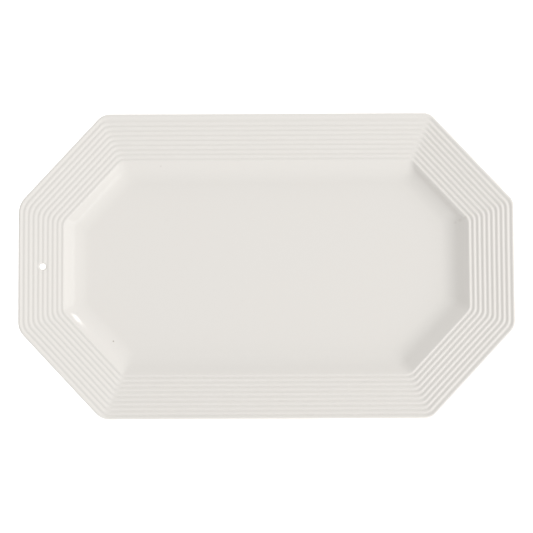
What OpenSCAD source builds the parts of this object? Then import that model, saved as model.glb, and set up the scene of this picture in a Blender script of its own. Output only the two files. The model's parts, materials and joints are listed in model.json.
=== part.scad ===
// Serving platter: an eight-sided glazed ceramic dish with a ribbed rim, a sunken well,
// a foot ring underneath and one small peg hole through the rim.
// Millimetres. X runs along the length, Y across the width, Z up from the table.
// The platter is one fired body with two coats of glaze fused to it.

/* [Outline] */
// Overall length along X
length = 457; // [430:1:480]
// Overall width along Y
width = 281.5; // [265:0.5:300]
// Part of the length that each cut corner takes
cut_x = 77; // [70:0.5:84]
// Part of the width that each cut corner takes
cut_y = 82.5; // [76:0.5:88]
// Corner radius of the outer edge
lip_corner_r = 16; // [14:0.5:24]
// Corner radius of the ribs
rib_corner_r = 9; // [8:0.5:18]
// Corner radius of the well floor and the foot ring
floor_corner_r = 16; // [12:0.5:24]

/* [Ribbed rim] */
// Number of rib crests, the lip and the edge of the well included
rib_count = 10; // [8:1:10]
// Distance from one crest to the next
rib_pitch = 4.32; // [4:0.02:4.6]
// Depth of the grooves between the crests
rib_relief = 0.9; // [0.4:0.05:1.2]
// Distance from the outer edge to the first crest
lip_inset = 1.75; // [1.5:0.05:2.2]
// Height that the edge's rounding takes on its upper side
lip_round_h = 2.2; // [1.5:0.1:2.6]
// Thickness of the rim
rim_t = 5; // [4.5:0.1:6]
// Rise of the rim towards the edge, in degrees
rim_slope = 7; // [4:0.5:10]

/* [Well] */
// Height of the well floor above the table
floor_z = 10; // [9:0.1:12]
// Slope of the well wall, in degrees
wall_slope = 33; // [28:0.5:38]
// Width in plan of the straight part of the wall
wall_run = 8.5; // [7:0.5:12]
// Radius between the wall and the floor
well_fillet_r = 28.5; // [20:0.5:30]
// Radius where the innermost rib turns into the wall
well_edge_r = 1.3; // [1:0.1:2.5]
// Thickness of the wall
wall_t = 5.5; // [5:0.1:6]
// Radius of the bend between the rim and the wall, underneath
back_bend_r = 10; // [6:0.5:14]

/* [Foot ring] */
// Clearance under the well floor
foot_h = 4; // [3:0.1:4.5]
// Width of the resting face
foot_w = 4; // [3:0.1:6]
// Lean of the foot ring's sides, in degrees
foot_draft = 20; // [10:1:25]
// Radius along the edges of the resting face
foot_round = 0.8; // [0.5:0.05:1]
// Radius where the foot ring joins the underside
foot_fillet_r = 1.8; // [1:0.1:2]
// Height at which the glaze stops above the table
glaze_stop = 1.4; // [1.2:0.1:2]

/* [Peg hole] */
// Diameter of the hole inside the glaze
hole_d = 6; // [4:0.1:7]
// Distance from the outer edge to the hole's axis
hole_inset = 22.3; // [20:0.1:25]
// Depth of the sloping mouth at each end of the hole
mouth_depth = 1.2; // [0.8:0.1:1.5]

/* [Glaze] */
// Thickness of the glaze
glaze_t = 0.3; // [0.2:0.05:0.4]

/* [Hidden] */
// Steps of each outline corner, rib, arc of the section and round of the hole
corner_steps = 3;
rib_steps = 6;
fillet_steps = 5;
edge_steps = 2;
lip_steps = 4;
bend_steps = 3;
hole_fn = 48;
overshoot = 1;
// Middle point of the foot ring's rounded corners, as a share of their size
foot_corner_share = 0.3;
// Half sizes, and the direction and distance from the middle of the cut corners
half_length = length / 2;
half_width = width / 2;
cut_angle = atan2(cut_x, cut_y);
cut_reach = half_length * cos(cut_angle) + (half_width - cut_y) * sin(cut_angle);
// Insets and heights along the upper surface, from the floor out to the first crest
rib_run = rib_pitch * (rib_count - 1);
edge_inset = lip_inset + rib_run;
wall_top_inset = edge_inset + well_edge_r * (sin(wall_slope) - sin(rim_slope));
floor_inset = wall_top_inset + wall_run + well_fillet_r * sin(wall_slope);
wall_top_z = floor_z + well_fillet_r * (1 - cos(wall_slope)) + wall_run * tan(wall_slope);
edge_z = wall_top_z + well_edge_r * (cos(rim_slope) - cos(wall_slope));
lip_z = edge_z + rib_run * tan(rim_slope);
// The rim's underside: its height at inset 0, and where the lip's rounding meets it
under_z = lip_z + lip_inset * tan(rim_slope) - rib_relief / 2 - rim_t / cos(rim_slope);
under_inset = 3;
lip_low_z = under_z - under_inset * tan(rim_slope);
// The wall's underside: a point on it, and where it meets the rim's
back_inset = wall_top_inset - wall_t * sin(wall_slope);
back_z = wall_top_z - wall_t * cos(wall_slope);
bend_inset = (back_z + back_inset * tan(wall_slope) - under_z) / (tan(wall_slope) - tan(rim_slope));
bend_z = under_z - bend_inset * tan(rim_slope);
// The foot ring's two sides, where they would meet the table
foot_lean = tan(foot_draft);
foot_out = back_inset + (back_z - foot_h) / tan(wall_slope) + foot_h * foot_lean;
foot_in = foot_out + foot_w + 2 * foot_round;
foot_corner = foot_round * foot_corner_share;
// The peg hole's axis and the heights of its two ends
hole_x = hole_inset - half_length;
hole_r = hole_d / 2;
hole_top_z = lip_z - (hole_inset - lip_inset) * tan(rim_slope) - rib_relief / 2;
hole_low_z = under_z - hole_inset * tan(rim_slope);
// Width of the strip of rim that the hole's lining is cut from
lining_w = 4 * hole_d;

// Corner radius of the outline at inset d
function corner_r(d) = lookup(d, [
    [0, lip_corner_r],
    [lip_inset + rib_pitch, rib_corner_r],
    [edge_inset, rib_corner_r],
    [floor_inset, floor_corner_r]
]);

// Points of an arc about c from angle a0 to a1; the angle is measured from +X
function arc(c, r, a0, a1, steps) = [
    for (k = [0 : steps])
        let (a = a0 + (a1 - a0) * k / steps)
        c + r * [cos(a), sin(a)]
];

// One quarter of the outline at inset d: its two rounded corners
function quarter(d) =
    let (
        r = corner_r(d),
        x0 = half_length - d - r,
        y1 = half_width - d - r,
        reach = cut_reach - d - r,
        y0 = (reach - x0 * cos(cut_angle)) / sin(cut_angle),
        x1 = (reach - y1 * sin(cut_angle)) / cos(cut_angle)
    )
    concat(
        arc([x0, y0], r, 0, cut_angle, corner_steps),
        arc([x1, y1], r, cut_angle, 90, corner_steps)
    );

// The closed outline at inset d, counter-clockwise
function outline(d) =
    let (
        q = quarter(d),
        m = [for (k = [len(q) - 1 : -1 : 0]) [-q[k][0], q[k][1]]]
    )
    concat(q, m, -q, -m);

// A closed solid with one outline for each [inset, height] point, from its top middle round to its bottom
module ring_solid(profile) {
    n = len(outline(0));
    last = len(profile) - 1;
    points = [for (p = profile, q = outline(p[0])) [q[0], q[1], p[1]]];
    top_cap = [for (j = [n - 1 : -1 : 0]) j];
    low_cap = [for (j = [0 : n - 1]) last * n + j];
    sides = [
        for (i = [0 : last - 1], j = [0 : n - 1])
            let (k = (j + 1) % n)
            [i * n + j, i * n + k, (i + 1) * n + k, (i + 1) * n + j]
    ];
    polyhedron(points, concat([top_cap], sides, [low_cap]));
}

// The points of a list in the opposite order
function backwards(p) = [for (i = [len(p) - 1 : -1 : 0]) p[i]];

// Unit normal of the step from p to q, to its left
function left_of(p, q) = [p[1] - q[1], q[0] - p[0]] / norm(q - p);

// The profile moved t to its left; the first point keeps its inset and the last its height
function moved(p, t) =
    let (last = len(p) - 1)
    [
        for (i = [0 : last])
            let (
                a = left_of(p[max(i, 1) - 1], p[max(i, 1)]),
                b = left_of(p[min(i, last - 1)], p[min(i, last - 1) + 1])
            )
            i == 0 ? p[0] + [0, t * sign(a[1])] :
            i == last ? p[last] + [t / b[0], 0] :
            p[i] + t * (a + b) / (1 + a * b)
    ];

// A rounded bend of radius r at corner b, between the slopes a0 and a1 in degrees
function bend(b, r, a0, a1, side) =
    let (
        mid = (a0 + a1) / 2,
        back = r / cos((a1 - a0) / 2)
    )
    [
        for (k = [0 : bend_steps])
            let (a = a0 + (a1 - a0) * k / bend_steps)
            b + [side * (r * sin(a) - back * sin(mid)), r * cos(a) - back * cos(mid)]
    ];

// Upper surface of the well: floor edge, fillet, wall and the turn into the innermost rib
well_profile = concat(
    arc([floor_inset, floor_z + well_fillet_r], well_fillet_r, -90, -90 - wall_slope, fillet_steps),
    [
        for (k = [0 : edge_steps - 1])
            let (a = wall_slope + (rim_slope - wall_slope) * k / edge_steps)
            [
                wall_top_inset - well_edge_r * (sin(wall_slope) - sin(a)),
                wall_top_z + well_edge_r * (cos(a) - cos(wall_slope))
            ]
    ]
);

// Upper surface of the ribbed rim, from the well's edge out to the first crest
rib_profile = [
    for (k = [0 : rib_steps * (rib_count - 1)])
        let (
            run = rib_pitch * k / rib_steps,
            groove = rib_relief / 2 * (1 - cos(360 * k / rib_steps))
        )
        [edge_inset - run, edge_z + run * tan(rim_slope) - groove]
];

// The rounded outer edge, from the first crest round to the underside
lip_profile = concat(
    [
        for (k = [1 : lip_steps])
            let (a = 90 * k / lip_steps)
            [lip_inset * (1 - sin(a)), lip_z - lip_round_h * (1 - cos(a))]
    ],
    [
        for (k = [1 : lip_steps])
            let (a = 90 * k / lip_steps)
            [
                under_inset * (1 - cos(a)),
                lip_low_z + (lip_z - lip_round_h - lip_low_z) * (1 - sin(a))
            ]
    ]
);

// The underside, from the rim in to where the glaze stops on the foot ring's outer side
back_profile = concat(
    bend([bend_inset, bend_z], back_bend_r, rim_slope, wall_slope, 1),
    bend([foot_out - foot_h * foot_lean, foot_h], foot_fillet_r, wall_slope, 90 - foot_draft, 1),
    [[foot_out - glaze_stop * foot_lean, glaze_stop]]
);

// The glazed face: well, ribs, edge and underside
face_profile = concat(well_profile, rib_profile, lip_profile, back_profile);

// The glazed base, from the middle out to where the glaze stops on the foot ring's inner side
base_profile = concat(
    bend([foot_in + foot_h * foot_lean, foot_h], foot_fillet_r, 0, 90 - foot_draft, -1),
    [[foot_in + glaze_stop * foot_lean, glaze_stop]]
);

// The bare foot ring, from the outer glaze line across the resting face to the inner one
foot_profile = [
    [foot_out - glaze_stop * foot_lean, glaze_stop],
    [foot_out - foot_round * foot_lean, foot_round],
    [foot_out + foot_corner, foot_corner],
    [foot_out + foot_round, 0],
    [foot_in - foot_round, 0],
    [foot_in - foot_corner, foot_corner],
    [foot_in + foot_round * foot_lean, foot_round],
    [foot_in + glaze_stop * foot_lean, glaze_stop]
];

// The clay under the glaze
clay_face = moved(face_profile, glaze_t);
clay_base = moved(base_profile, -glaze_t);

// The peg hole with its sloping mouths, grow larger all round
module hole(grow) {
    mouth_grow = grow * (sqrt(2) - 1);
    mouth_r = hole_r + grow + mouth_grow + mouth_depth + overshoot;
    translate([hole_x, 0, 0])
        rotate_extrude($fn = hole_fn)
            polygon([
                [0, hole_low_z - overshoot],
                [mouth_r, hole_low_z - overshoot],
                [hole_r + grow, hole_low_z + mouth_depth + mouth_grow],
                [hole_r + grow, hole_top_z - mouth_depth - mouth_grow],
                [mouth_r, hole_top_z + overshoot],
                [0, hole_top_z + overshoot]
            ]);
}

// The glaze that lines the hole, still filled; it ends halfway through the coats above and below
module hole_lining() {
    rim_section = moved(concat(rib_profile, lip_profile, [back_profile[0]]), glaze_t / 2);
    intersection() {
        hole(glaze_t);
        translate([-half_length, 0, 0])
            rotate([90, 0, 0])
                linear_extrude(height = lining_w, center = true)
                    polygon(rim_section);
    }
}

// Fired clay body: floor, wall, ribbed rim and the foot ring with its bare resting face
module clay_body() {
    color("tan")
        difference() {
            ring_solid(concat(clay_face, foot_profile, backwards(clay_base)));
            hole(glaze_t);
        }
}

// Coat of glaze over the well, the ribs, the edge, the underside and the hole
module face_glaze() {
    color("ivory")
        difference() {
            union() {
                ring_solid(concat(face_profile, backwards(clay_face)));
                hole_lining();
            }
            hole(0);
        }
}

// Coat of glaze under the floor, inside the foot ring
module base_glaze() {
    color("floralwhite") ring_solid(concat(clay_base, backwards(base_profile)));
}

clay_body();
face_glaze();
base_glaze();
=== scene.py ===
"""Looks of the ribbed serving platter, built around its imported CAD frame.

Lengths are in millimetres until a mesh is made.
"""
import json
import math

import bpy
import mathutils
import numpy as np
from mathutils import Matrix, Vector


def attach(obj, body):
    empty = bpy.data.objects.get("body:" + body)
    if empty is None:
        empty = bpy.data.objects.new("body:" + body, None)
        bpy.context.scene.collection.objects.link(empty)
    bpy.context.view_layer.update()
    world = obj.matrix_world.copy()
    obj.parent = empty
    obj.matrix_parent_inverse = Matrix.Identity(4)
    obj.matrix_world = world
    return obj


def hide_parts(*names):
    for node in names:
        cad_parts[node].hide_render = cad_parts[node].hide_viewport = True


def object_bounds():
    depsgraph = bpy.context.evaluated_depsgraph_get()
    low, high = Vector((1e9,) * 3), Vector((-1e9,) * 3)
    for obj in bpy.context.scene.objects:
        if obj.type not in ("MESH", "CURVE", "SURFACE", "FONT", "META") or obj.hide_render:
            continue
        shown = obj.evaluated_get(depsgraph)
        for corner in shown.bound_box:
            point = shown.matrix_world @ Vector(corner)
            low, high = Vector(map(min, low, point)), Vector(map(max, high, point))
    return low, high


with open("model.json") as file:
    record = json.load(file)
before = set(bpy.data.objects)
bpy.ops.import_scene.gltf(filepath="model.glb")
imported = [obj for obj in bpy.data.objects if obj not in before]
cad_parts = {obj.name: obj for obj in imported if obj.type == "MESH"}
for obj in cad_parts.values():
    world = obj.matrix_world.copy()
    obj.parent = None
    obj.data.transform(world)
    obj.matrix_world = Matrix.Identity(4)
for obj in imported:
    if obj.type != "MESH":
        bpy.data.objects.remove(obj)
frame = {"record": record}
cad_low, cad_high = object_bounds()
MM = 0.001
mounts = {m["name"]: m for m in frame["record"]["mounts"]}

# Overall sizes, from the frame
HALF_LENGTH = cad_high.x / MM
HALF_WIDTH = cad_high.y / MM
LIP_Z = cad_high.z / MM
FLOOR_Z = mounts["well_floor"]["pos_m"][2] / MM
HOLE_X = mounts["peg_hole"]["pos_m"][0] / MM
HOLE_R = mounts["peg_hole"]["dims"]["r_mm"]
FOOT_MID = HALF_WIDTH + mounts["foot_ring_face"]["pos_m"][1] / MM

# Outline
CUT_X, CUT_Y = 77.0, 82.5          # what each cut corner takes of the length and the width
TUCK = 0.12                        # how far the handmade edge stays inside the CAD box
WARP = 0.1                         # how far the handmade shape wanders sideways
SAG = 0.12                         # how far it wanders up and down
# Corner radii at the lip, the outermost groove and the innermost rib, anticlockwise from the right end
CORNERS = (
    (12, 10, 9), (13, 8, 7), (15, 9, 9), (22, 18, 11),
    (18, 12, 11), (18, 8, 5), (15, 10, 11), (15, 10, 11),
)
FLOOR_CORNER_R = 14.0
CORNER_ROOM = 0.5                  # the most that a corner takes of the width that is left
# What this one platter does on each side, anticlockwise from the right end
DRIFT = (-0.2, 0.2, 0, -0.6, -0.25, -0.15, 0, -0.65)            # how far the edge lies outside its true place
MARGINS = (0.5, 0.75, 2.35, 0.5, 0.25, 0.45, -0.35, 0.65)       # extra margin outside the ribs
DEPTHS = (0.84, 1.2, 0.85, 0.65, 0.56, 0.68, 1.2, 0.97)         # depth of the grooves against RELIEF
WELLS = (0.1, -4.4, -1.0, -2.2, -2.1, -1.5, -0.9, 0.8)          # how far the well's wall lies further in
WELL_RAMP = 10.0                   # past the wall's top, where it is fully moved
WELL_FADE = 5.0                    # before the flat floor, where it starts to come back
EVEN_GAP = 30.0                    # inside the flat floor, where every side is back in its true place

# Ribs and section
RIBS = 10
PITCH = 4.32
LIP_INSET = 1.75
RELIEF = 0.9
GROOVE_POWER = 1.15                # above 1 the crests are broader than the grooves
RIM_SLOPE = math.radians(7)
RIM_T = 5.0
WALL_SLOPE = math.radians(33)
WALL_RUN = 8.5
FILLET_R = 28.5
EDGE_R = 1.3
WALL_T = 5.5
BEND_R = 10.0
LIP_ROUND_H = 2.2
LIP_UNDER = 3.0
FOOT_H = 4.0
FOOT_HALF = 2.8                    # half the foot ring's width where its sides would meet the table
FOOT_ROUND = 0.8
FOOT_FILLET_R = 1.8
FOOT_LEAN = math.tan(math.radians(20))
GLAZE_STOP = 1.4
GLAZE_T = 0.3
HAIR = 0.02                        # gap that keeps two surfaces from lying in one place
HOLE_MOUTH = 1.3                   # radius of the glazed edge round the hole
PATCH = 6.0                        # half the width of the patch that holds the hole

EDGE_INSET = LIP_INSET + PITCH * (RIBS - 1)
EDGE_Z = LIP_Z - PITCH * (RIBS - 1) * math.tan(RIM_SLOPE)
WALL_TOP = EDGE_INSET + EDGE_R * (math.sin(WALL_SLOPE) - math.sin(RIM_SLOPE))
WALL_TOP_Z = EDGE_Z - EDGE_R * (math.cos(RIM_SLOPE) - math.cos(WALL_SLOPE))
FLOOR_INSET = WALL_TOP + WALL_RUN + FILLET_R * math.sin(WALL_SLOPE)
UNDER_Z = LIP_Z + LIP_INSET * math.tan(RIM_SLOPE) - RELIEF / 2 - RIM_T / math.cos(RIM_SLOPE)
FOOT_OUT = FOOT_MID - FOOT_HALF
FOOT_IN = FOOT_MID + FOOT_HALF


# ---------------------------------------------------------------- outlines

SIDE_NORMALS = []                  # unit outward normals of the eight sides, anticlockwise from the right end
SIDE_REACH = []                    # their distances from the middle
CUT_ANGLE = math.atan2(CUT_X, CUT_Y)
for quarter in range(4):
    turn = quarter * math.pi / 2
    flat = HALF_LENGTH if quarter % 2 == 0 else HALF_WIDTH
    slant = CUT_ANGLE if quarter % 2 == 0 else math.pi / 2 - CUT_ANGLE
    SIDE_NORMALS.append((math.cos(turn), math.sin(turn)))
    SIDE_NORMALS.append((math.cos(turn + slant), math.sin(turn + slant)))
    SIDE_REACH.append(flat - TUCK)
    SIDE_REACH.append(HALF_LENGTH * math.cos(CUT_ANGLE) + (HALF_WIDTH - CUT_Y) * math.sin(CUT_ANGLE) - TUCK)
HOLE_SIDE = 4
ARC_STEPS = 9
SIDE_STEPS = (7, 7, 16, 7, 7, 7, 16, 7)    # steps along each half side, outside its middle strip
STRIP_STEPS = (2, 2, 2, 2, 12, 2, 2, 2)


def smooth(x, low, high):
    """0 below low, 1 above high, and a smooth rise between them."""
    t = min(max((x - low) / (high - low), 0.0), 1.0)
    return t * t * (3 - 2 * t)


def corner_radius(corner, inset):
    """Radius of one corner at an inset: from the lip to the ribs, then growing softer down the well."""
    marks = (0, LIP_INSET + PITCH, EDGE_INSET, FLOOR_INSET)
    radius = float(np.interp(inset, marks, (*CORNERS[corner], FLOOR_CORNER_R)))
    return min(radius, (HALF_WIDTH - inset) * CORNER_ROOM)


def side_reach(side, inset):
    """Distance of one side from the middle at an inset."""
    margin = MARGINS[side] * smooth(inset, 0, LIP_INSET + PITCH)
    margin *= 1 - smooth(inset, EDGE_INSET, FLOOR_INSET + EVEN_GAP)
    well = WELLS[side] * smooth(inset, EDGE_INSET, WALL_TOP + WELL_RAMP)
    well *= 1 - smooth(inset, FLOOR_INSET - WELL_FADE, FLOOR_INSET + EVEN_GAP)
    return SIDE_REACH[side] + DRIFT[side] - inset - margin - well


def meet(n0, c0, n1, c1):
    """Where the lines n0.p = c0 and n1.p = c1 cross."""
    det = n0[0] * n1[1] - n0[1] * n1[0]
    return np.array(((c0 * n1[1] - c1 * n0[1]) / det, (n0[0] * c1 - n1[0] * c0) / det))


def corner_arc(corner, inset):
    """Points of one rounded corner, from its side to the next."""
    n0, n1 = SIDE_NORMALS[corner], SIDE_NORMALS[(corner + 1) % 8]
    radius = corner_radius(corner, inset)
    c0 = side_reach(corner, inset) - radius
    c1 = side_reach((corner + 1) % 8, inset) - radius
    centre = meet(n0, c0, n1, c1)
    a0 = math.atan2(n0[1], n0[0])
    a1 = math.atan2(n1[1], n1[0])
    a1 += 2 * math.pi if a1 < a0 else 0
    angles = np.linspace(a0, a1, ARC_STEPS + 1)
    return centre + radius * np.stack([np.cos(angles), np.sin(angles)], 1)


def side_points(side, start, end):
    """Points along one side between its corners, with a strip in the middle that holds the hole's patch."""
    normal = np.array(SIDE_NORMALS[side])
    along = np.array((-normal[1], normal[0]))
    foot = normal * (start @ normal)
    u0, u1 = start @ along, end @ along
    middle = 0.0 if side % 2 == 0 else (u0 + u1) / 2
    half = min(PATCH, (middle - u0) / 2, (u1 - middle) / 2)
    strip = np.linspace(middle - half, middle + half, STRIP_STEPS[side] + 1)
    before = np.linspace(u0, middle - half, SIDE_STEPS[side] + 1)[1:-1]
    after = np.linspace(middle + half, u1, SIDE_STEPS[side] + 1)[1:-1]
    places = np.concatenate([before, strip, after])
    return foot + places[:, None] * along


def outline(inset):
    """The whole outline at an inset, anticlockwise, starting after the last corner."""
    arcs = [corner_arc(corner, inset) for corner in range(8)]
    parts = []
    for side in range(8):
        parts.append(side_points(side, arcs[side - 1][-1], arcs[side][0]))
        parts.append(arcs[side])
    return np.concatenate(parts)


# ---------------------------------------------------------------- sections

# Where the rings lie on the flat parts: inwards from the floor's edge and from the foot ring
FLOOR_GAPS = (58, 48, 37, 27, 18, 11, 5)
BASE_GAPS = (64, 52, 40, 28, 18, 10, 5)
# Insets of the rings under the rim, on either side of the hole's patch
UNDER_OUTER, UNDER_INNER = (7, 12), 31
WALL_SHARES = (0.25, 0.5, 0.75)
BACK_SHARES = (0.3, 0.6)
# Steps round each curve of the sections
FILLET_STEPS, EDGE_STEPS, BEND_STEPS, ROOT_STEPS, LIP_STEPS = 12, 4, 5, 6, 8
FINE_RIB, PLAIN_RIB = 16, 6        # steps across one rib, where it shows and where it is covered
FOOT_FLAT = 0.8                    # half the width of the middle strip of the foot ring's face


def arc(cx, cz, radius, start, end, steps):
    """Points of an arc in the section, with angles in radians from the inset axis."""
    angles = np.linspace(start, end, steps + 1)
    return [(cx + radius * math.cos(a), cz + radius * math.sin(a)) for a in angles]


def grooves(inset):
    """0 on a crest and 1 at the bottom of a groove, for each inset on the ribs, and 0 off them."""
    inset = np.asarray(inset, float)
    phase = 2 * math.pi * (inset - LIP_INSET) / PITCH
    depth = np.maximum(0.5 - 0.5 * np.cos(phase), 0) ** GROOVE_POWER
    return np.where((inset > LIP_INSET) & (inset < EDGE_INSET), depth, 0.0)


def rib_line(inset):
    """Height of the line over the rib crests."""
    return LIP_Z - (inset - LIP_INSET) * math.tan(RIM_SLOPE)


def upper_section(rib_steps):
    """(inset, z) along the upper surface, from the middle of the floor out to the first crest."""
    floor = [(FLOOR_INSET + gap, FLOOR_Z) for gap in FLOOR_GAPS]
    low_end = -math.pi / 2 - WALL_SLOPE
    fillet = arc(FLOOR_INSET, FLOOR_Z + FILLET_R, FILLET_R, -math.pi / 2, low_end, FILLET_STEPS)
    edge_z = WALL_TOP_Z - EDGE_R * math.cos(WALL_SLOPE)
    edge_x = WALL_TOP - EDGE_R * math.sin(WALL_SLOPE)
    wall_end = math.pi / 2 - WALL_SLOPE
    edge = arc(edge_x, edge_z, EDGE_R, wall_end, math.pi / 2 - RIM_SLOPE, EDGE_STEPS)[:-1]
    low, high = fillet[-1], edge[0]
    wall = [tuple(np.add(low, np.subtract(high, low) * t)) for t in WALL_SHARES]
    ribs = []
    for k in range(rib_steps * (RIBS - 1) + 1):
        inset = EDGE_INSET - PITCH * k / rib_steps
        ribs.append((inset, rib_line(inset) - RELIEF * float(grooves(inset))))
    return floor + fillet + wall + edge + ribs


def lip_section(steps):
    """The rounded outer edge, from just past the first crest round to the underside."""
    low_z = UNDER_Z - LIP_UNDER * math.tan(RIM_SLOPE)
    mid_z = LIP_Z - LIP_ROUND_H
    turns = [math.pi / 2 * k / steps for k in range(1, steps + 1)]
    upper = [(LIP_INSET * (1 - math.sin(a)), LIP_Z - LIP_ROUND_H * (1 - math.cos(a))) for a in turns]
    lower = [(LIP_UNDER * (1 - math.cos(a)), mid_z - (mid_z - low_z) * math.sin(a)) for a in turns]
    return upper + lower


def bend(corner, radius, start, end, side, steps):
    """A rounded bend in the section between two slopes, in radians."""
    mid, back = (start + end) / 2, radius / math.cos((end - start) / 2)
    return [
        (corner[0] + side * (radius * math.sin(a) - back * math.sin(mid)),
         corner[1] + radius * math.cos(a) - back * math.cos(mid))
        for a in np.linspace(start, end, steps + 1)
    ]


def under_section(patch_insets):
    """The underside, from the lip in to the glaze line on the foot ring; its rings match the patch's."""
    back_x = WALL_TOP - WALL_T * math.sin(WALL_SLOPE)
    back_z = WALL_TOP_Z - WALL_T * math.cos(WALL_SLOPE)
    rise, fall = math.tan(RIM_SLOPE), math.tan(WALL_SLOPE)
    bend_x = (back_z + back_x * fall - UNDER_Z) / (fall - rise)
    rim = [(x, UNDER_Z - x * rise) for x in (*UNDER_OUTER, *patch_insets, UNDER_INNER)]
    turn = bend((bend_x, UNDER_Z - bend_x * rise), BEND_R, RIM_SLOPE, WALL_SLOPE, 1, BEND_STEPS)
    foot_top = (FOOT_OUT - FOOT_H * FOOT_LEAN, FOOT_H)
    wall = [tuple(np.add(turn[-1], np.subtract(foot_top, turn[-1]) * t)) for t in BACK_SHARES]
    root = bend(foot_top, FOOT_FILLET_R, WALL_SLOPE, math.pi / 2 - math.atan(FOOT_LEAN), 1, ROOT_STEPS)
    return rim + turn + wall + root + [(FOOT_OUT - GLAZE_STOP * FOOT_LEAN, GLAZE_STOP)]


def base_section():
    """The glazed base, from the middle out to the glaze line inside the foot ring."""
    middle = [(FOOT_IN + gap, FOOT_H) for gap in BASE_GAPS]
    root = bend((FOOT_IN + FOOT_H * FOOT_LEAN, FOOT_H), FOOT_FILLET_R, 0,
                math.pi / 2 - math.atan(FOOT_LEAN), -1, ROOT_STEPS)
    return middle + root + [(FOOT_IN + GLAZE_STOP * FOOT_LEAN, GLAZE_STOP)]


def foot_section(depth):
    """The bare foot ring below the glaze, flush with the clay at a depth under it."""
    slope = math.pi / 2 - math.atan(FOOT_LEAN)
    narrower = depth / math.sin(slope)
    outer = bend((FOOT_OUT + narrower, 0), -FOOT_ROUND, 0, slope, 1, BEND_STEPS)[::-1]
    inner = bend((FOOT_IN - narrower, 0), -FOOT_ROUND, 0, slope, -1, BEND_STEPS)
    return outer + [(FOOT_MID - FOOT_FLAT, 0.0), (FOOT_MID + FOOT_FLAT, 0.0)] + inner


def sunk(section, depth):
    """The section moved into the clay by depth. Its first point keeps its inset and its last its height."""
    p = np.array(section, float)
    steps = np.diff(p, axis=0)
    left = np.stack([-steps[:, 1], steps[:, 0]], 1) / np.linalg.norm(steps, axis=1)[:, None]
    a, b = np.vstack([left[:1], left]), np.vstack([left, left[-1:]])
    moved = p + depth * (a + b) / (1 + (a * b).sum(1))[:, None]
    moved[0] = p[0] + (0, depth * np.sign(left[0][1]))
    moved[-1] = p[-1] + (depth / left[-1][0], 0)
    return [tuple(q) for q in moved]


# ---------------------------------------------------------------- meshes

RING_STEPS = [2 * SIDE_STEPS[k] + STRIP_STEPS[k] + ARC_STEPS for k in range(8)]
RING = sum(RING_STEPS)
RIGHT_MIDDLE = SIDE_STEPS[0] - 1 + STRIP_STEPS[0] // 2
HOLE_COLUMN = sum(RING_STEPS[:HOLE_SIDE]) + SIDE_STEPS[HOLE_SIDE] - 1
HOLE_COLUMNS = range(HOLE_COLUMN, HOLE_COLUMN + STRIP_STEPS[HOLE_SIDE] + 1)
DEPTH_ROUND = np.concatenate([
    [DEPTHS[k]] * (RING_STEPS[k] - ARC_STEPS - 1)
    + np.linspace(DEPTHS[k], DEPTHS[(k + 1) % 8], ARC_STEPS + 1).tolist()
    for k in range(8)
])
PATCH_LOOPS = 8
MOUTH_STEPS = 6
BORE_STEPS = 3

SEED = 12
WAVE_COUNT = 5
WAVE_LENGTHS = (90, 240)
WAVE_CHANNELS = 4
chance = np.random.default_rng(SEED)
# Heading, rate and the phase in each channel, of each wave that the handmade shape wanders by
WAVES = [
    (chance.uniform(0, 2 * math.pi), 2 * math.pi / chance.uniform(*WAVE_LENGTHS),
     chance.uniform(0, 2 * math.pi, WAVE_CHANNELS))
    for _ in range(WAVE_COUNT)
]


def waves(x, y, channel):
    """A smooth random value between about -1 and 1 at each place."""
    total = np.zeros_like(x)
    for heading, rate, phases in WAVES:
        total += np.sin(rate * (x * math.cos(heading) + y * math.sin(heading)) + phases[channel])
    return total / len(WAVES)


def handmade(points):
    """The points moved a little, as clay moves in drying and firing; what is near the table stays."""
    x, y, z = points.T
    return np.stack([
        x + WARP * waves(x, y, 0),
        y + WARP * waves(x, y, 1),
        z + SAG * z / LIP_Z * (waves(x, y, 2) - 1),
    ], 1)


def height_at(section, inset):
    """Height of a section at each inset; the section runs one way only."""
    p = np.array(sorted(section))
    return np.interp(inset, p[:, 0], p[:, 1])


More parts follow.
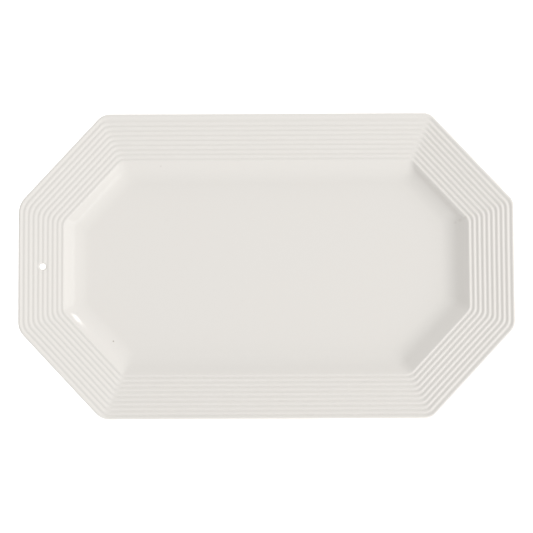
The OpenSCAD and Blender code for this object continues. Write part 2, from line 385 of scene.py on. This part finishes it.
class Skin:
    """A surface made of rows of points. Each point also carries the depth of the groove it lies in."""

    def __init__(self):
        self.points, self.groove, self.faces, self.count = [], [], [], 0

    def row(self, points, groove=0.0):
        """Adds a row of points and returns their numbers."""
        first = self.count
        self.points.append(points)
        self.groove.append(np.broadcast_to(groove, len(points)))
        self.count += len(points)
        return list(range(first, self.count))

    def rings(self, section, ribbed=False):
        """One closed ring of points for each point of the section."""
        made = []
        for inset, z in section:
            flat = outline(inset)
            groove = float(grooves(inset)) if ribbed else 0.0
            lift = RELIEF * groove * (1 - DEPTH_ROUND)
            made.append(self.row(np.column_stack([flat, z + lift]), groove))
        return made

    def join(self, a, b, up=True, skip=()):
        """Faces between two rows of the same length, both closed."""
        for i in range(len(a)):
            k = (i + 1) % len(a)
            if i not in skip:
                face = (a[i], b[i], b[k], a[k])
                self.faces.append(face if up else face[::-1])

    def join_all(self, rows, up=True, skip=()):
        """Faces between each row and the next."""
        for a, b in zip(rows, rows[1:]):
            self.join(a, b, up, skip)

    def close(self, ring, up=True):
        """Fills the innermost ring: one face at each end, and strips across between them."""
        half = RING // 2
        last = half - STRIP_STEPS[HOLE_SIDE] // 2 - SIDE_STEPS[HOLE_SIDE] - 1
        first = STRIP_STEPS[0] // 2 + SIDE_STEPS[0] + 1
        left = [ring[(RIGHT_MIDDLE + i) % RING] for i in range(half + 1)]
        right = [ring[(RIGHT_MIDDLE - i) % RING] for i in range(half + 1)]
        faces = [(*right[first:0:-1], *left[:first + 1]), (*left[last:], *right[half - 1:last - 1:-1])]
        for i in range(first, last):
            faces.append((right[i], left[i], left[i + 1], right[i + 1]))
        self.faces += [face if up else face[::-1] for face in faces]

    def piece(self, name):
        """The finished mesh object, without the points that no face uses."""
        used = np.unique(np.concatenate(self.faces))
        number = np.zeros(self.count, int)
        number[used] = np.arange(len(used))
        points = handmade(np.concatenate(self.points)[used]) * MM
        mesh = bpy.data.meshes.new(name)
        mesh.from_pydata(points.tolist(), [], [tuple(number[list(face)].tolist()) for face in self.faces])
        groove = mesh.attributes.new("groove", "FLOAT", "POINT")
        groove.data.foreach_set("value", np.concatenate(self.groove)[used])
        mesh.update()
        mesh.shade_smooth()
        piece = bpy.data.objects.new(name, mesh)
        bpy.context.collection.objects.link(piece)
        return piece


def patch_edge(rings):
    """The closed row of points round the hole's patch, from the rings that cross it, innermost ring first."""
    first, last = HOLE_COLUMNS[0], HOLE_COLUMNS[-1]
    inner = [rings[0][c] for c in HOLE_COLUMNS]
    front = [ring[last] for ring in rings[1:-1]]
    outer = [rings[-1][c] for c in reversed(HOLE_COLUMNS)]
    back = [ring[first] for ring in rings[-2:0:-1]]
    return inner + front + outer + back


def hole_side_inset(x):
    """Inset of a place on the hole's side of the ribs."""
    return SIDE_REACH[HOLE_SIDE] + DRIFT[HOLE_SIDE] - MARGINS[HOLE_SIDE] + x


def hole_rows(skin, edge, upper, under, depth):
    """Rows of points from the patch's upper edge through the hole to its lower edge."""
    edge_xy = np.concatenate(skin.points)[edge][:, :2]
    out = edge_xy - (HOLE_X, 0)
    out /= np.linalg.norm(out, axis=1)[:, None]
    mouth = HOLE_MOUTH - depth
    mouth_r = HOLE_R + HOLE_MOUTH
    rim = (HOLE_X, 0) + mouth_r * out

    def spot(xy, z, groove=0.0):
        return skin.row(np.column_stack([xy, z]), groove)

    def mouth_row(a, start, way):
        """A row round one of the mouths, at an angle of its rounding, from its rim's height."""
        xy = (HOLE_X, 0) + (mouth_r - mouth * math.sin(a)) * out
        return spot(xy, start + way * mouth * (1 - math.cos(a)))

    def rib_lift(inset):
        return RELIEF * grooves(inset) * (1 - DEPTHS[HOLE_SIDE])

    def surface(section, share, ribbed):
        xy = edge_xy + (rim - edge_xy) * share
        inset = hole_side_inset(xy[:, 0])
        lift = rib_lift(inset) if ribbed else 0.0
        return spot(xy, height_at(section, inset) + lift, grooves(inset) if ribbed else 0.0)

    rim_inset = hole_side_inset(rim[:, 0])
    top = height_at(upper, rim_inset) + rib_lift(rim_inset)
    low = height_at(under, rim_inset)
    shares = np.linspace(0, 1, PATCH_LOOPS + 1)[1:]
    turns = np.linspace(0, math.pi / 2, MOUTH_STEPS + 1)[1:]
    rows = [surface(upper, share, True) for share in shares]
    rows += [mouth_row(a, top, -1) for a in turns]
    bore = (HOLE_X, 0) + (mouth_r - mouth) * out
    for share in np.linspace(0, 1, BORE_STEPS + 1)[1:-1]:
        rows.append(spot(bore, (top - mouth) * (1 - share) + (low + mouth) * share))
    rows += [mouth_row(a, low, 1) for a in turns[::-1]]
    rows += [surface(under, share, False) for share in shares[::-1]]
    return rows


def in_patch(inset):
    """Whether a ring at this inset crosses the hole's patch."""
    return abs(inset - hole_side_inset(HOLE_X)) < PATCH


def face_skin(skin, depth, rib_steps, up=True):
    """The glazed face, or the surface at a depth under it, hole and all. Returns its last ring."""
    upper = upper_section(rib_steps) + lip_section(LIP_STEPS)
    under = under_section([inset for inset, _ in reversed(upper) if in_patch(inset)])
    split = len(upper)
    top_rows = [k for k, (inset, _) in enumerate(upper) if in_patch(inset)]
    low_rows = [split + k for k, (inset, _) in enumerate(under) if in_patch(inset)]
    whole = sunk(upper + under, depth)
    rings = skin.rings(whole[:split], True) + skin.rings(whole[split:])
    for k, (a, b) in enumerate(zip(rings, rings[1:])):
        inside = k in top_rows[:-1] or k in low_rows[:-1]
        skin.join(a, b, up, HOLE_COLUMNS[:-1] if inside else ())
    top_edge = patch_edge([rings[k] for k in top_rows])
    low_edge = patch_edge([rings[k] for k in reversed(low_rows)])
    rim_upper = [p for p in whole[:split] if LIP_INSET < p[0] < EDGE_INSET]
    rim_under = [p for p in whole[split:] if p[0] < EDGE_INSET - PATCH]
    rows = hole_rows(skin, top_edge, rim_upper, rim_under, depth)
    skin.join_all([top_edge, *rows, low_edge], up)
    skin.close(rings[0], up)
    return rings[-1]


def glazed_face():
    """The coat of glaze over the well, ribs, edge, hole and underside, with a bead on the foot ring."""
    skin = Skin()
    outside = face_skin(skin, 0.0, FINE_RIB)
    inside = face_skin(skin, GLAZE_T, PLAIN_RIB, up=False)
    end = FOOT_OUT - GLAZE_STOP * FOOT_LEAN
    bead = skin.rings([(end + GLAZE_T / 2, GLAZE_STOP - GLAZE_T / 2)])[0]
    skin.join_all([outside, bead, inside])
    return skin.piece("glazed_face")


def glazed_base():
    """The coat of glaze under the floor, with a bead on the foot ring's inner side."""
    skin = Skin()
    outside = skin.rings(base_section())
    inside = skin.rings(sunk(base_section(), -GLAZE_T))
    end = FOOT_IN + GLAZE_STOP * FOOT_LEAN
    bead = skin.rings([(end - GLAZE_T / 2, GLAZE_STOP - GLAZE_T / 2)])
    skin.join_all(outside + bead + inside[::-1], up=False)
    skin.close(outside[0], up=False)
    skin.close(inside[0], up=True)
    return skin.piece("glazed_base")


def fired_body():
    """The clay: under the glaze everywhere, and bare on the foot ring."""
    skin = Skin()
    depth = GLAZE_T + HAIR
    last = face_skin(skin, depth, PLAIN_RIB)
    foot = skin.rings(foot_section(depth))
    base = skin.rings(sunk(base_section(), -depth)[::-1])
    skin.join_all([last, *foot, *base])
    skin.close(base[-1], up=False)
    return skin.piece("fired_body")


# ---------------------------------------------------------------- materials

class Nodes:
    """A short way to write a node material."""

    def __init__(self, name):
        self.material = bpy.data.materials.new(name)
        self.material.use_nodes = True
        self.tree = self.material.node_tree
        self.shader = self.tree.nodes["Principled BSDF"]
        self.place = self.add("ShaderNodeTexCoord").outputs["Object"]

    def add(self, kind, inputs=None, **settings):
        node = self.tree.nodes.new(kind)
        for key, value in settings.items():
            setattr(node, key, value)
        for key, value in (inputs or {}).items():
            self.put(value, node.inputs[key])
        return node

    def put(self, value, socket):
        if isinstance(value, bpy.types.NodeSocket):
            self.tree.links.new(value, socket)
        else:
            socket.default_value = value

    def noise(self, scale, detail):
        made = self.add("ShaderNodeTexNoise", {"Vector": self.place, "Scale": scale, "Detail": detail})
        return made.outputs["Fac"]

    def spread(self, value, low, high, to_low, to_high):
        made = self.add("ShaderNodeMapRange", {"Value": value, "From Min": low, "From Max": high,
                                               "To Min": to_low, "To Max": to_high})
        return made.outputs["Result"]

    def math(self, operation, a, b=0.0):
        return self.add("ShaderNodeMath", {0: a, 1: b}, operation=operation).outputs[0]

    def mix(self, factor, a, b):
        made = self.add("ShaderNodeMix", {"Factor": factor, 6: a, 7: b}, data_type="RGBA")
        return made.outputs[2]

    def bump(self, height, strength, distance, normal=None):
        inputs = {"Height": height, "Strength": strength, "Distance": distance}
        if normal is not None:
            inputs["Normal"] = normal
        return self.add("ShaderNodeBump", inputs).outputs["Normal"]


GLAZE = (0.752, 0.728, 0.692, 1)
GLAZE_THIN = (0.757, 0.727, 0.685, 1)
# Lighter glaze for the grooves: partly pooled glaze, partly painted light that cancels the shade in them
GLAZE_POOLED_AND_PAINTED_LIGHT = (0.775, 0.75, 0.711, 1)
# Dark colour of the specks, and of the painted shade in one corner's crease
SPECK_AND_SHADE = (0.36, 0.31, 0.26, 1)
CLAY = (0.66, 0.6, 0.51, 1)
CLAY_DARK = (0.55, 0.48, 0.39, 1)
# Scale and detail of each noise
CLOUDS = (14.0, 3.0)
FINE = (900.0, 2.0)
PEEL = (160.0, 2.0)
STAINS = (45.0, 4.0)
GRIT = (2200.0, 3.0)
FLOOR_TONES = (3.0, 2.0)
# The part of its range that each noise is used over
CLOUD_SPAN = (0.35, 0.65)
ROUGH_SPAN = (0.3, 1.7)
STAIN_SPAN = (0.4, 0.7)
GRIT_SPAN = (0.62, 0.75)
NOISE_SPAN = (0.3, 0.7)
# How much of its second colour each effect brings in
THIN_SHARE = 0.35
# Share of the groove lightening, partly pooled glaze and partly painted light
POOLED_AND_PAINTED_LIGHT_SHARE = 0.6
STAIN_SHARE = 0.6
GRIT_SHARE = 0.5
# Roughness, lowest and highest
GLAZE_ROUGH = (0.04, 0.07)
CLAY_ROUGH = (0.75, 0.95)
FLOOR_ROUGH = 0.9
# Strength and height of each bump, in metres
PEEL_BUMP = (0.015, 0.0004)
FINE_BUMP = (0.003, 0.0001)
GRIT_BUMP = (0.5, 0.0003)
GLAZE_IOR = 1.5
FLOOR_GREY = (0.895, 0.905)
SPECK_AND_SHADE_EDGE = (0.5, 1.3)            # where a speck or a spot of painted shade starts to fade and where it ends, against its radius
# Small dark specks fired into the glaze, then painted shade: faint dark spots down the crease of one corner
# of the well's wall:
# x, y, radius and strength
SPECKS_AND_CREASE_SHADE = (
    (-142, -69, 0.65, 1), (-22.5, -32, 0.25, 1), (-97.5, 93, 0.3, 1), (-93, 43, 0.3, 1),
    (184, 43.5, 1.6, 0.12), (179.5, 41.5, 1.6, 0.12), (175.5, 39.5, 1.3, 0.1),
)


def speck_and_shade_cover(nodes):
    """1 inside a speck or a spot of painted shade and 0 elsewhere, with a soft edge."""
    total = 0.0
    flatten = nodes.add("ShaderNodeVectorMath", {0: nodes.place, 1: (1, 1, 0)}, operation="MULTIPLY")
    for x, y, radius, strength in SPECKS_AND_CREASE_SHADE:
        spot = (x * MM, y * MM, 0)
        away = nodes.add("ShaderNodeVectorMath", {0: flatten.outputs[0], 1: spot}, operation="DISTANCE")
        start, end = radius * MM * SPECK_AND_SHADE_EDGE[0], radius * MM * SPECK_AND_SHADE_EDGE[1]
        cover = nodes.spread(away.outputs["Value"], start, end, strength, 0.0)
        total = cover if total == 0.0 else nodes.math("MAXIMUM", total, cover)
    return total


def glaze_material(name, specks_and_shade):
    """Warm white gloss glaze: lighter in the grooves, partly glaze pooled thicker there and partly painted
    light that cancels their shade; faintly clouded and uneven all over.
    """
    nodes = Nodes(name)
    groove = nodes.add("ShaderNodeAttribute", attribute_name="groove").outputs["Fac"]
    cloud = nodes.spread(nodes.noise(*CLOUDS), *CLOUD_SPAN, 0.0, 1.0)
    colour = nodes.mix(nodes.math("MULTIPLY", cloud, THIN_SHARE), GLAZE, GLAZE_THIN)
    # Lighter in the grooves: partly pooled glaze, partly painted light that cancels the shade in them
    colour = nodes.mix(nodes.math("MULTIPLY", groove, POOLED_AND_PAINTED_LIGHT_SHARE), colour, GLAZE_POOLED_AND_PAINTED_LIGHT)
    # Dark specks, and painted shade along the crease of one corner of the well
    if specks_and_shade:
        colour = nodes.mix(speck_and_shade_cover(nodes), colour, SPECK_AND_SHADE)
    nodes.put(colour, nodes.shader.inputs["Base Color"])
    fine = nodes.noise(*FINE)
    rough = nodes.spread(nodes.math("ADD", fine, cloud), *ROUGH_SPAN, *GLAZE_ROUGH)
    nodes.put(rough, nodes.shader.inputs["Roughness"])
    peel = nodes.bump(nodes.noise(*PEEL), *PEEL_BUMP)
    nodes.put(nodes.bump(fine, *FINE_BUMP, peel), nodes.shader.inputs["Normal"])
    nodes.shader.inputs["IOR"].default_value = GLAZE_IOR
    return nodes.material


def clay_material():
    """Bare fired clay: matte, finely gritty, a little stained and scuffed where it stands."""
    nodes = Nodes("bare_clay")
    stain = nodes.spread(nodes.noise(*STAINS), *STAIN_SPAN, 0.0, 1.0)
    colour = nodes.mix(nodes.math("MULTIPLY", stain, STAIN_SHARE), CLAY, CLAY_DARK)
    grit = nodes.noise(*GRIT)
    colour = nodes.mix(nodes.spread(grit, *GRIT_SPAN, 0.0, GRIT_SHARE), colour, CLAY_DARK)
    nodes.put(colour, nodes.shader.inputs["Base Color"])
    nodes.put(nodes.spread(grit, *NOISE_SPAN, *CLAY_ROUGH), nodes.shader.inputs["Roughness"])
    nodes.put(nodes.bump(grit, *GRIT_BUMP), nodes.shader.inputs["Normal"])
    return nodes.material


def floor_material():
    """A plain white floor, lit a little from within so that it stays white close to the platter."""
    nodes = Nodes("white_floor")
    tone = nodes.spread(nodes.noise(*FLOOR_TONES), *NOISE_SPAN, *FLOOR_GREY)
    grey = nodes.add("ShaderNodeCombineColor", {0: tone, 1: tone, 2: tone}).outputs[0]
    nodes.put(grey, nodes.shader.inputs["Base Color"])
    nodes.shader.inputs["Roughness"].default_value = FLOOR_ROUGH
    nodes.shader.inputs["Emission Color"].default_value = (1, 1, 1, 1)
    nodes.shader.inputs["Emission Strength"].default_value = FLOOR_GLOW
    return nodes.material


# ---------------------------------------------------------------- stage, light and camera

FLOOR_HALF = 8.0
FLOOR_GLOW = 0.5
AMBIENT = 0.3                      # even part of the white surround
# Broad soft glows of the surround: azimuth, elevation, tightness and strength
GLOWS = ((75, 10, 1.0, 0.7), (-79, 12, 2.5, 1.37), (0, 90, 3.0, 0.5), (45, 12, 3.0, 0.42))
# Lamps: azimuth, elevation, distance, width, height and watts
KEY = (-15, 30, 4.0, 4.0, 2.5, 35.0)
GLINT = (55.25, 20.0, 1.367, 0.085, 0.013, 0.09)
FRONT = -90                        # azimuth of the front
CAMERA_DISTANCE = 1.25
CAMERA_ELEVATION = 87.0            # the camera stands a little towards the front
CAMERA_ROLL = -0.27
CAMERA_AIM = (0.05 * MM, -1.0 * MM, 23.5 * MM)
LENS = 91.85
SENSOR_WIDTH = 36
CLIP_END = 100


def floor():
    """The floor that the platter stands on, a hair below it."""
    x = FLOOR_HALF
    mesh = bpy.data.meshes.new("floor")
    mesh.from_pydata([(-x, -x, 0), (x, -x, 0), (x, x, 0), (-x, x, 0)], [], [(0, 1, 2, 3)])
    made = bpy.data.objects.new("floor", mesh)
    made.location.z = -HAIR * MM
    bpy.context.collection.objects.link(made)
    mesh.materials.append(floor_material())


def direction(azimuth, elevation):
    """Unit vector towards a compass angle, anticlockwise from +X, and a height above the horizon."""
    a, e = math.radians(azimuth), math.radians(elevation)
    return np.array((math.cos(a) * math.cos(e), math.sin(a) * math.cos(e), math.sin(e)))


def softbox(name, azimuth, elevation, distance, width, height, watts):
    """A rectangular light that faces the platter."""
    light = bpy.data.lights.new(name, "AREA")
    light.shape = "RECTANGLE"
    light.size = width
    light.size_y = height
    light.energy = watts
    lamp = bpy.data.objects.new(name, light)
    away = mathutils.Vector(direction(azimuth, elevation))
    lamp.location = away * distance
    lamp.rotation_euler = away.to_track_quat("Z", "Y").to_euler()
    bpy.context.collection.objects.link(lamp)


def surround():
    """A white surround that glows softly from above, the back, the back right and the front."""
    world = bpy.data.worlds.new("surround")
    world.use_nodes = True
    nodes, links = world.node_tree.nodes, world.node_tree.links
    place = nodes.new("ShaderNodeTexCoord").outputs["Generated"]
    total = None
    for azimuth, elevation, tightness, strength in GLOWS:
        facing = nodes.new("ShaderNodeVectorMath")
        facing.operation = "DOT_PRODUCT"
        facing.inputs[1].default_value = direction(azimuth, elevation)
        links.new(place, facing.inputs[0])
        value = facing.outputs["Value"]
        for operation, amount in (("MAXIMUM", 0.0), ("POWER", tightness), ("MULTIPLY", strength)):
            step = nodes.new("ShaderNodeMath")
            step.operation = operation
            step.inputs[1].default_value = amount
            links.new(value, step.inputs[0])
            value = step.outputs[0]
        add = nodes.new("ShaderNodeMath")
        add.inputs[1].default_value = AMBIENT
        if total is not None:
            links.new(total, add.inputs[1])
        links.new(value, add.inputs[0])
        total = add.outputs[0]
    links.new(total, nodes["Background"].inputs["Strength"])
    nodes["Background"].inputs["Color"].default_value = (1, 1, 1, 1)
    bpy.context.scene.world = world


def lights():
    """The surround, one large soft light from the right and a small lamp for the glint in the well."""
    surround()
    softbox("key", *KEY)
    softbox("glint", *GLINT)


def camera():
    """The camera, almost straight above, as in a catalogue picture."""
    lens = bpy.data.cameras.new("camera")
    lens.lens = LENS
    lens.sensor_width = SENSOR_WIDTH
    lens.clip_end = CLIP_END
    made = bpy.data.objects.new("camera", lens)
    back = direction(FRONT, CAMERA_ELEVATION)
    made.location = np.array(CAMERA_AIM) + back * CAMERA_DISTANCE
    turn = mathutils.Vector(back).to_track_quat("Z", "Y").to_matrix()
    roll = mathutils.Matrix.Rotation(math.radians(CAMERA_ROLL), 3, back)
    made.rotation_euler = (roll @ turn).to_euler()
    bpy.context.collection.objects.link(made)
    bpy.context.scene.camera = made


def place(piece, node, slot, material):
    """Gives a piece its material and its place in the frame."""
    piece.data.materials.append(material)
    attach(piece, "root")
    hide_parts(node)


camera()
place(fired_body(), "clay_body", "clay_body", clay_material())
place(glazed_face(), "face_glaze", "face_glaze", glaze_material("face_glaze", True))
place(glazed_base(), "base_glaze", "base_glaze", glaze_material("base_glaze", False))
floor()
lights()
bpy.context.scene.view_settings.view_transform = "Standard"
